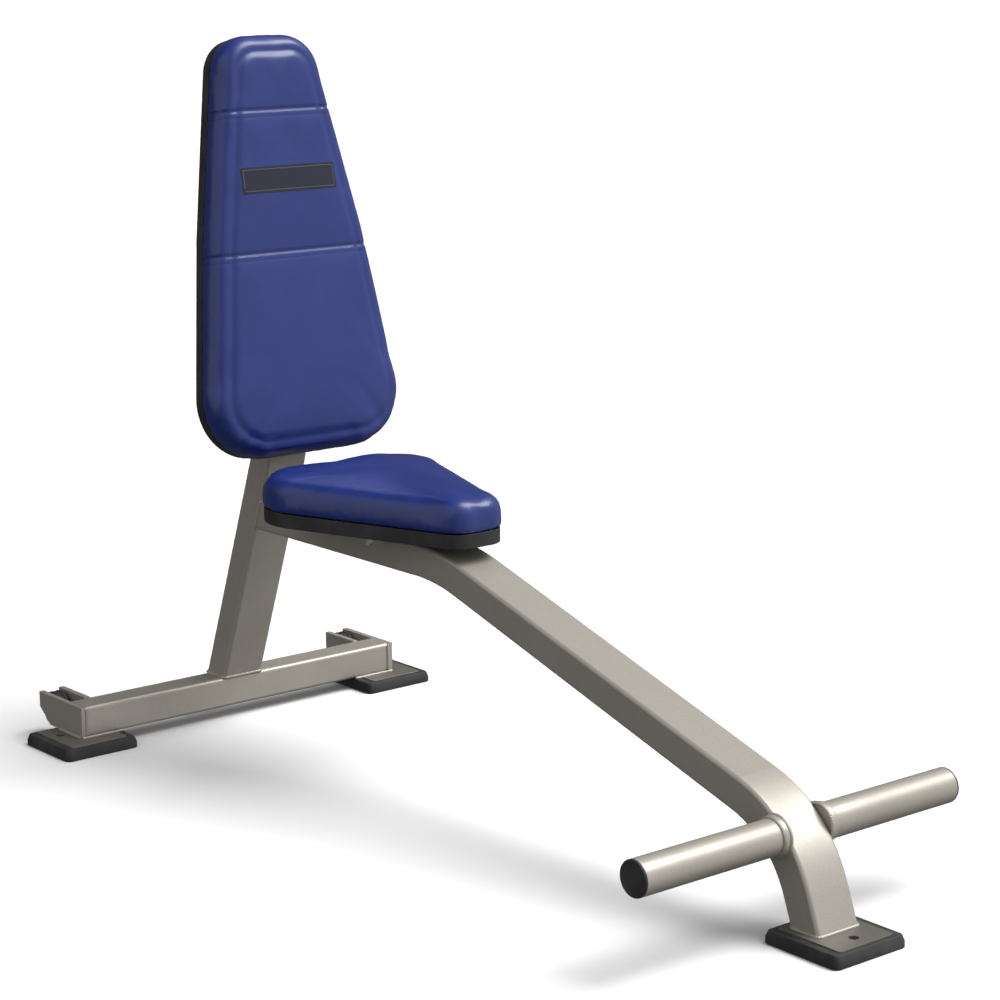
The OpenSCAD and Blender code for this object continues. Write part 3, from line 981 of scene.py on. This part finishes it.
    def shape_skin(self, piece: bpy.types.Object) -> None:
        """Draws the seams in and dips the skin behind the edge roll.

        Args:
            piece: the swollen cushion in the pad's frame.
        """
        mesh = piece.data
        points = np.array([v.co for v in mesh.vertices])
        normals = np.array([v.normal for v in mesh.vertices])
        drop = np.zeros(len(points))
        for seam in self.seams_mm:
            for offset, depth, width in ((0, self.groove_mm, 2.4), (-self.twin_mm, 0.4, 2.0)):
                away = (points[:, 1] - (seam + offset) * MM) / (width * MM)
                drop += depth * MM * np.exp(-away * away)
            wide = (points[:, 1] - seam * MM) / (16 * MM)
            drop += 0.5 * MM * np.exp(-wide * wide)
        if self.valley_mm:
            inside = self.edge_distance(points)
            away = (inside - self.valley_in_mm * MM) / (8 * MM)
            top = points[:, 2] > (self.shell_h_mm + self.thick_mm * 0.7) * MM
            drop += np.where(top, self.valley_mm * MM * np.exp(-away * away), 0)
        free = np.clip((points[:, 2] - (self.shell_h_mm + 3) * MM) / (6 * MM), 0, 1)
        ripple = np.sin(points[:, 0] * 210 + 3 * np.sin(points[:, 1] * 60))
        ripple *= np.sin(points[:, 1] * 190 + 2 * np.sin(points[:, 0] * 70))
        low = np.exp(-(((points[:, 2] - (self.shell_h_mm + 10) * MM) / (10 * MM)) ** 2))
        drop += 0.35 * MM * ripple * low
        points -= normals * (drop * free)[:, None]
        mesh.vertices.foreach_set("co", points.astype(np.float32).ravel())
        mesh.update()

    def build(self) -> bpy.types.Object:
        """Builds the cushion.

        Returns:
            The cushion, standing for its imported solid.
        """
        bm = self.block()
        mesh = bpy.data.meshes.new(self.name)
        bm.to_mesh(mesh)
        bm.free()
        piece = bpy.data.objects.new(self.name, mesh)
        bpy.context.scene.collection.objects.link(piece)
        remesh = piece.modifiers.new("even", "REMESH")
        remesh.mode = "VOXEL"
        remesh.voxel_size = self.voxel_mm * MM
        apply_modifiers(piece)
        self.swell(piece)
        relax = piece.modifiers.new("relax", "SMOOTH")
        relax.iterations = 4
        relax.factor = 0.5
        finer = piece.modifiers.new("finer", "SUBSURF")
        finer.levels = finer.render_levels = 1
        apply_modifiers(piece)
        self.shape_skin(piece)
        piece.data.transform(self.place())
        piece.data.update()
        smooth(piece, 180)
        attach(piece, self.body)
        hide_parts(self.node)
        self.palette.dress(piece, ROYAL_VINYL)
        LOG.info("built %s, %d faces", self.name, len(piece.data.polygons))
        return piece

    def seam_path(self, piece: bpy.types.Object, along_mm: float) -> list[Vector]:
        """Finds the line over the cushion from rim to rim at one height.

        Args:
            piece: the finished cushion.
            along_mm: the seam's distance along the pad.

        Returns:
            The points in order, in the bench's frame.
        """
        place = self.place()
        bm = bmesh.new()
        bm.from_mesh(piece.data)
        bmesh.ops.transform(bm, matrix=place.inverted(), verts=bm.verts)
        loop = section(bm, Vector((0, along_mm * MM, 0)), Vector((0, 1, 0)))
        low = (self.shell_h_mm + 4) * MM
        centre = self.shell_h_mm * MM - 0.05
        kept = sorted(
            (p for p in loop if p.z > low), key=lambda p: math.atan2(p.x, p.z - centre)
        )
        return [place @ p for p in kept]

    def stitch(self, name: str, piece: bpy.types.Object, along_mm: float, finish: Finish) -> None:
        """Sews one row of stitches across the cushion.

        Args:
            name: the row's name.
            piece: the finished cushion.
            along_mm: the row's distance along the pad.
            finish: the thread.
        """
        path = resampled(self.seam_path(piece, along_mm), 1.0 * MM, False)
        tree = BVHTree.FromPolygons(
            [v.co for v in piece.data.vertices], [p.vertices for p in piece.data.polygons]
        )
        sew(name, path, tree, self.palette, finish, self.body)


def sew(
    name: str,
    path: list[Vector],
    skin: BVHTree,
    palette: Palette,
    finish: Finish,
    body: str,
    pitch: int = 5,
) -> None:
    """Lays stitches along a path of points 1 mm apart, half sunk in a skin.

    Args:
        name: the piece's name.
        path: the path.
        skin: the surface the stitches lie on.
        palette: the finishes.
        finish: the thread.
        body: the body that carries the stitches.
        pitch: millimetres from one stitch to the next.
    """
    bm = bmesh.new()
    for i in range(2, len(path) - pitch, pitch):
        start, end = path[i], path[min(i + pitch - 2, len(path) - 1)]
        middle = (start + end) / 2
        normal = skin.find_nearest(middle)[1] or Vector((0, 0, 1))
        along = (end - start).normalized()
        side = along.cross(normal).normalized()
        turn = Matrix((along, side, normal)).transposed().to_4x4()
        scale = Matrix.Diagonal(((end - start).length / 2 + 0.4 * MM, 0.55 * MM, 0.5 * MM, 1))
        bmesh.ops.create_uvsphere(
            bm, u_segments=6, v_segments=4, radius=1.0,
            matrix=Matrix.Translation(middle) @ turn @ scale,
        )
    bmesh.ops.recalc_face_normals(bm, faces=bm.faces)
    row = new_piece(name, bm, body)
    smooth(row, 180)
    palette.dress(row, finish)
    LOG.info("sewed %s", name)


@dataclass
class Label:
    """Plain woven strip sewn to the upper part of the back pad, with no lettering."""

    palette: Palette
    pad: Pad
    middle_mm: float = 432.0
    width_mm: float = 178.0
    height_mm: float = 41.0
    proud_mm: float = 0.5

    def build(self, cushion: bpy.types.Object) -> None:
        """Lays the strip on the cushion and sews its border.

        Args:
            cushion: the finished back cushion.
        """
        place = self.pad.place()
        skin = BVHTree.FromPolygons(
            [v.co for v in cushion.data.vertices], [p.vertices for p in cushion.data.polygons]
        )
        bm = bmesh.new()
        bmesh.ops.create_grid(bm, x_segments=60, y_segments=14, size=0.5)
        bmesh.ops.scale(bm, vec=(self.width_mm * MM, self.height_mm * MM, 1), verts=bm.verts)
        down = place.to_3x3() @ Vector((0, 0, -1))
        for vert in bm.verts:
            start = place @ Vector((vert.co.x, self.middle_mm * MM + vert.co.y, 0.15))
            hit = skin.ray_cast(start, down)[0]
            vert.co = hit - self.proud_mm * MM * down
        bmesh.ops.recalc_face_normals(bm, faces=bm.faces)
        bm.normal_update()
        if sum((f.normal for f in bm.faces), Vector()).dot(down) > 0:
            bmesh.ops.reverse_faces(bm, faces=bm.faces)
        strip = new_piece("back_label_strip", bm, self.pad.body)
        smooth(strip, 60)
        thick = strip.modifiers.new("thickness", "SOLIDIFY")
        thick.thickness = 1.0 * MM
        thick.offset = -1
        self.palette.dress(strip, LABEL_TAPE)
        w, h = self.width_mm / 2 - 4, self.height_mm / 2 - 4
        corners = [(-w, -h), (w, -h), (w, h), (-w, h)]
        flat = resampled([Vector((x * MM, (self.middle_mm + y) * MM, 0)) for x, y in corners], 1 * MM)
        path = []
        for point in flat:
            start = place @ Vector((point.x, point.y, 0.15))
            path.append(skin.ray_cast(start, down)[0] - (self.proud_mm + 0.1) * MM * down)
        sew("back_label_border", path, skin, self.palette, LABEL_THREAD, self.pad.body, 4)
        LOG.info("built back_label_strip")


@dataclass
class TrayScrews:
    """Pan-head screws that hold a backing tray to its board, seen from behind or below."""

    palette: Palette
    pad: Pad
    count: int = 10
    inset_mm: float = 22.0
    head_mm: float = 4.5

    def build(self) -> None:
        """Sets the screws round the tray's underside."""
        place = self.pad.place()
        ring = self.pad.outline()
        middle = sum(ring, Vector()) / len(ring)
        path = resampled(ring, perimeter(ring) / self.count)
        bm = bmesh.new()
        for spot in path:
            inward = Vector((middle.x - spot.x, middle.y - spot.y, 0)).normalized()
            at = Vector((spot.x, spot.y, 0)) + inward * self.inset_mm * MM
            self.head(bm, place @ Matrix.Translation(at) @ Matrix.Rotation(math.pi, 4, "X"))
        screws = new_piece(self.pad.name + "_tray_screws", bm, self.pad.body)
        smooth(screws, 40)
        self.palette.dress(screws, ZINC)
        LOG.info("built %s", screws.name)

    def head(self, bm: bmesh.types.BMesh, at: Matrix) -> None:
        """Adds one domed head with a cross recess.

        Args:
            bm: the mesh it goes in.
            at: its place, with Z out of the tray.
        """
        made = bmesh.ops.create_cone(
            bm, cap_ends=True, segments=16, radius1=self.head_mm * MM, radius2=self.head_mm * 0.72 * MM,
            depth=2.2 * MM, matrix=at @ Matrix.Translation((0, 0, 1.1 * MM)),
        )
        top = max(
            {f for v in made["verts"] for f in v.link_faces},
            key=lambda f: (at.inverted() @ f.calc_center_median()).z,
        )
        bmesh.ops.inset_region(bm, faces=[top], thickness=1.5 * MM, depth=0)
        bmesh.ops.inset_region(bm, faces=[top], thickness=0.2 * MM, depth=-1.2 * MM)


# ---- Turned parts ----


@dataclass
class TurnedParts:
    """Wheels, bar plugs and their like, turned round an axis along X."""

    palette: Palette

    def wheel(self, side: Side) -> None:
        """Builds a transport wheel with a rounded tread and a recessed web.

        Args:
            side: the side of the bench.
        """
        node = "transport_wheel_" + side.word
        low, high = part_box(node)
        bush_low, bush_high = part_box("wheel_bush_" + side.word)
        middle = (low + high) / 2
        half, rim = (high.x - low.x) / 2, (high.z - low.z) / 2
        bore = (bush_high.z - bush_low.z) / 2
        web = half - 2.5 * MM
        side_line = [
            (half, bore), (half, bore + 4 * MM), (web, bore + 5.5 * MM), (web, rim - 9 * MM),
            (half, rim - 7.5 * MM), (half, rim - 4 * MM), (half - 1.2 * MM, rim - 1.6 * MM),
            (half - 3.6 * MM, rim - 0.2 * MM), (4.2 * MM, rim), (3.4 * MM, rim - 1.2 * MM),
        ]
        line = side_line + [(-x, r) for x, r in reversed(side_line)] + [side_line[0]]
        bm = spun(line, 96)
        bmesh.ops.translate(bm, verts=bm.verts, vec=middle)
        wheel = new_piece(node + "_tyre", bm, "wheel_" + side.word)
        smooth(wheel, 50)
        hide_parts(node)
        self.palette.dress(wheel, WHEEL_RUBBER)
        LOG.info("built %s", wheel.name)

    def plug(self, side: Side) -> None:
        """Builds a foot bar's end plug with a rounded rim and a shallow dish.

        Args:
            side: the side of the bench.
        """
        node = "foot_bar_plug_" + side.word
        low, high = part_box(node)
        middle = (low + high) / 2
        radius = (high.z - low.z) / 2
        end = abs(high.x if side is Side.LEFT else low.x)
        inner = abs(low.x if side is Side.LEFT else high.x)
        tube_end = abs(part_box("foot_bar_" + side.word)[1 if side is Side.LEFT else 0].x)
        line = [
            (inner, 0.0), (inner, radius - 4 * MM), (tube_end, radius - 3.4 * MM),
            (tube_end, radius), (end - 1.6 * MM, radius), (end - 0.5 * MM, radius - 0.5 * MM),
            (end, radius - 1.6 * MM), (end, radius - 4.2 * MM), (end - 0.7 * MM, radius - 5 * MM),
            (end - 0.9 * MM, radius * 0.4), (end - 0.9 * MM, 0.0),
        ]
        bm = spun([(side.value * x, r) for x, r in line], 72)
        bmesh.ops.translate(bm, verts=bm.verts, vec=(0, middle.y, middle.z))
        plug = new_piece(node + "_cap", bm, "frame")
        smooth(plug, 40)
        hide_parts(node)
        self.palette.dress(plug, CHARCOAL_LDPE)
        LOG.info("built %s", plug.name)

    def build(self) -> None:
        """Builds the turned parts of both sides."""
        for side in Side:
            self.wheel(side)
            self.plug(side)


# ---- Studio ----


@dataclass
class Studio:
    """Pale floor, one broad soft key from the front right and a dim room round it."""

    camera_at: tuple[float, float, float] = (-2.4505, -3.0232, 1.3142)
    yaw_deg: float = 39.387
    pitch_deg: float = 12.154
    roll_deg: float = 0.26
    lens_mm: float = 97.35
    floor_size: float = 160.0
    key_from: tuple[float, float, float] = (0.45, -0.34, 0.85)
    key_strength: float = 3.1
    key_soft_deg: float = 38.0
    fill_from: tuple[float, float, float] = (-0.88, 0.05, 0.42)
    fill_strength: float = 0.75
    fill_soft_deg: float = 75.0

    def build(self) -> None:
        """Sets up the floor, the lights and the camera."""
        self.floor()
        self.backdrop()
        self.lights()
        self.camera()
        LOG.info("set up the studio")

    def floor(self) -> None:
        """Lays a plain pale floor that only the camera sees, so that it casts no glow."""
        bm = bmesh.new()
        bmesh.ops.create_grid(bm, x_segments=1, y_segments=1, size=self.floor_size / 2)
        bmesh.ops.translate(bm, verts=bm.verts, vec=(0, 0, -0.2 * MM))
        mesh = bpy.data.meshes.new("studio_floor")
        bm.to_mesh(mesh)
        bm.free()
        floor = bpy.data.objects.new("studio_floor", mesh)
        bpy.context.scene.collection.objects.link(floor)
        material = bpy.data.materials.new("pale_studio_paper")
        material.use_nodes = True
        shader = material.node_tree.nodes["Principled BSDF"]
        shader.inputs["Base Color"].default_value = linear("F4F4F5")
        shader.inputs["Roughness"].default_value = 1.0
        shader.inputs["Specular IOR Level"].default_value = 0.0
        mesh.materials.append(material)
        floor.visible_diffuse = False
        floor.visible_glossy = False

    def backdrop(self) -> None:
        """Hangs white paper all round, so that the floor has no horizon in low views."""
        bm = bmesh.new()
        bmesh.ops.create_cone(
            bm, cap_ends=False, segments=96, radius1=self.floor_size * 0.48,
            radius2=self.floor_size * 0.48, depth=self.floor_size,
        )
        mesh = bpy.data.meshes.new("studio_backdrop")
        bm.to_mesh(mesh)
        bm.free()
        paper = bpy.data.objects.new("studio_backdrop", mesh)
        bpy.context.scene.collection.objects.link(paper)
        material = bpy.data.materials.new("backlit_studio_paper")
        material.use_nodes = True
        shader = material.node_tree.nodes["Principled BSDF"]
        shader.inputs["Base Color"].default_value = linear("000000")
        shader.inputs["Specular IOR Level"].default_value = 0.0
        shader.inputs["Emission Color"].default_value = linear("FFFFFF")
        shader.inputs["Emission Strength"].default_value = 1.0
        mesh.materials.append(material)
        paper.visible_diffuse = False
        paper.visible_glossy = False
        paper.visible_shadow = False

    def lights(self) -> None:
        """Sets a high key, a weak fill and a dim room that is brighter in front and above."""
        self.sun("key_light", self.key_from, self.key_strength, self.key_soft_deg)
        self.sun("fill_light", self.fill_from, self.fill_strength, self.fill_soft_deg)
        world = bpy.data.worlds.new("dim_room")
        bpy.context.scene.world = world
        world.use_nodes = True
        tree = world.node_tree
        tree.nodes.clear()
        way = add_node(tree, "TexCoord").outputs["Generated"]
        lean = add_node(
            tree, "VectorMath", {"Vector": way, "Vector_001": (0.45, -0.76, 0.47)},
            operation="DOT_PRODUCT",
        )
        glow = add_node(
            tree, "MapRange",
            {"Value": lean.outputs["Value"], "From Min": -0.15, "From Max": 0.95,
             "To Min": 0.10, "To Max": 0.85},
        )
        sky = add_node(tree, "Background", {"Color": linear("F6F5F4"), "Strength": glow.outputs[0]})
        add_node(tree, "OutputWorld", {"Surface": sky.outputs[0]})

    def sun(
        self, name: str, comes_from: tuple[float, float, float], strength: float, soft_deg: float
    ) -> None:
        """Adds one distant light.

        Args:
            name: the light's name.
            comes_from: the direction it comes from.
            strength: its strength.
            soft_deg: how wide it looks, in degrees; a wider one casts softer shadows.
        """
        light = bpy.data.lights.new(name, "SUN")
        light.energy = strength
        light.angle = math.radians(soft_deg)
        holder = bpy.data.objects.new(name, light)
        holder.rotation_euler = Vector(comes_from).to_track_quat("Z", "Y").to_euler()
        bpy.context.scene.collection.objects.link(holder)

    def camera(self) -> None:
        """Sets the camera."""
        data = bpy.data.cameras.new("camera")
        data.lens = self.lens_mm
        data.sensor_width = 36.0
        data.clip_end = 300.0
        camera = bpy.data.objects.new("camera", data)
        camera.location = self.camera_at
        yaw, pitch = math.radians(self.yaw_deg), math.radians(self.pitch_deg)
        look = Vector(
            (math.sin(yaw) * math.cos(pitch), math.cos(yaw) * math.cos(pitch), -math.sin(pitch))
        )
        aim = look.to_track_quat("-Z", "Y").to_matrix()
        roll = Matrix.Rotation(math.radians(-self.roll_deg), 3, "Z")
        camera.rotation_euler = (aim @ roll).to_euler()
        bpy.context.scene.collection.objects.link(camera)
        bpy.context.scene.camera = camera
        bpy.context.scene.view_settings.view_transform = "Standard"


def main() -> None:
    """Builds the bench's looks in order and reports each piece."""
    logging.basicConfig(level=logging.INFO, format="%(name)s: %(message)s")
    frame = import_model()
    palette = Palette()
    RigidParts(palette).dress(frame["nodes"])
    WeldSeams(palette).build()
    TurnedParts(palette).build()
    seat = Pad(
        palette, "seat_cushion", "seat_pad", "seat_shell", 0.0, 51.0, 24.0, 7.0, shell_h_mm=22.0,
    )
    seat.build()
    back = Pad(
        palette, "back_cushion", "back_pad", "back_shell", 9.7, 48.0, 30.0, 6.0,
        seams_mm=(319.0, 541.0), valley_mm=3.4, valley_in_mm=27.0,
    )
    cushion = back.build()
    for i, seam in enumerate(back.seams_mm):
        back.stitch(f"back_stitches_{i}_upper", cushion, seam + 3.5, THREAD)
        back.stitch(f"back_stitches_{i}_lower", cushion, seam - back.twin_mm, THREAD)
    Label(palette, back).build(cushion)
    TrayScrews(palette, seat, 8).build()
    TrayScrews(palette, back, 12).build()
    Studio().build()
    bpy.context.view_layer.update()


if __name__ == "__main__":
    main()
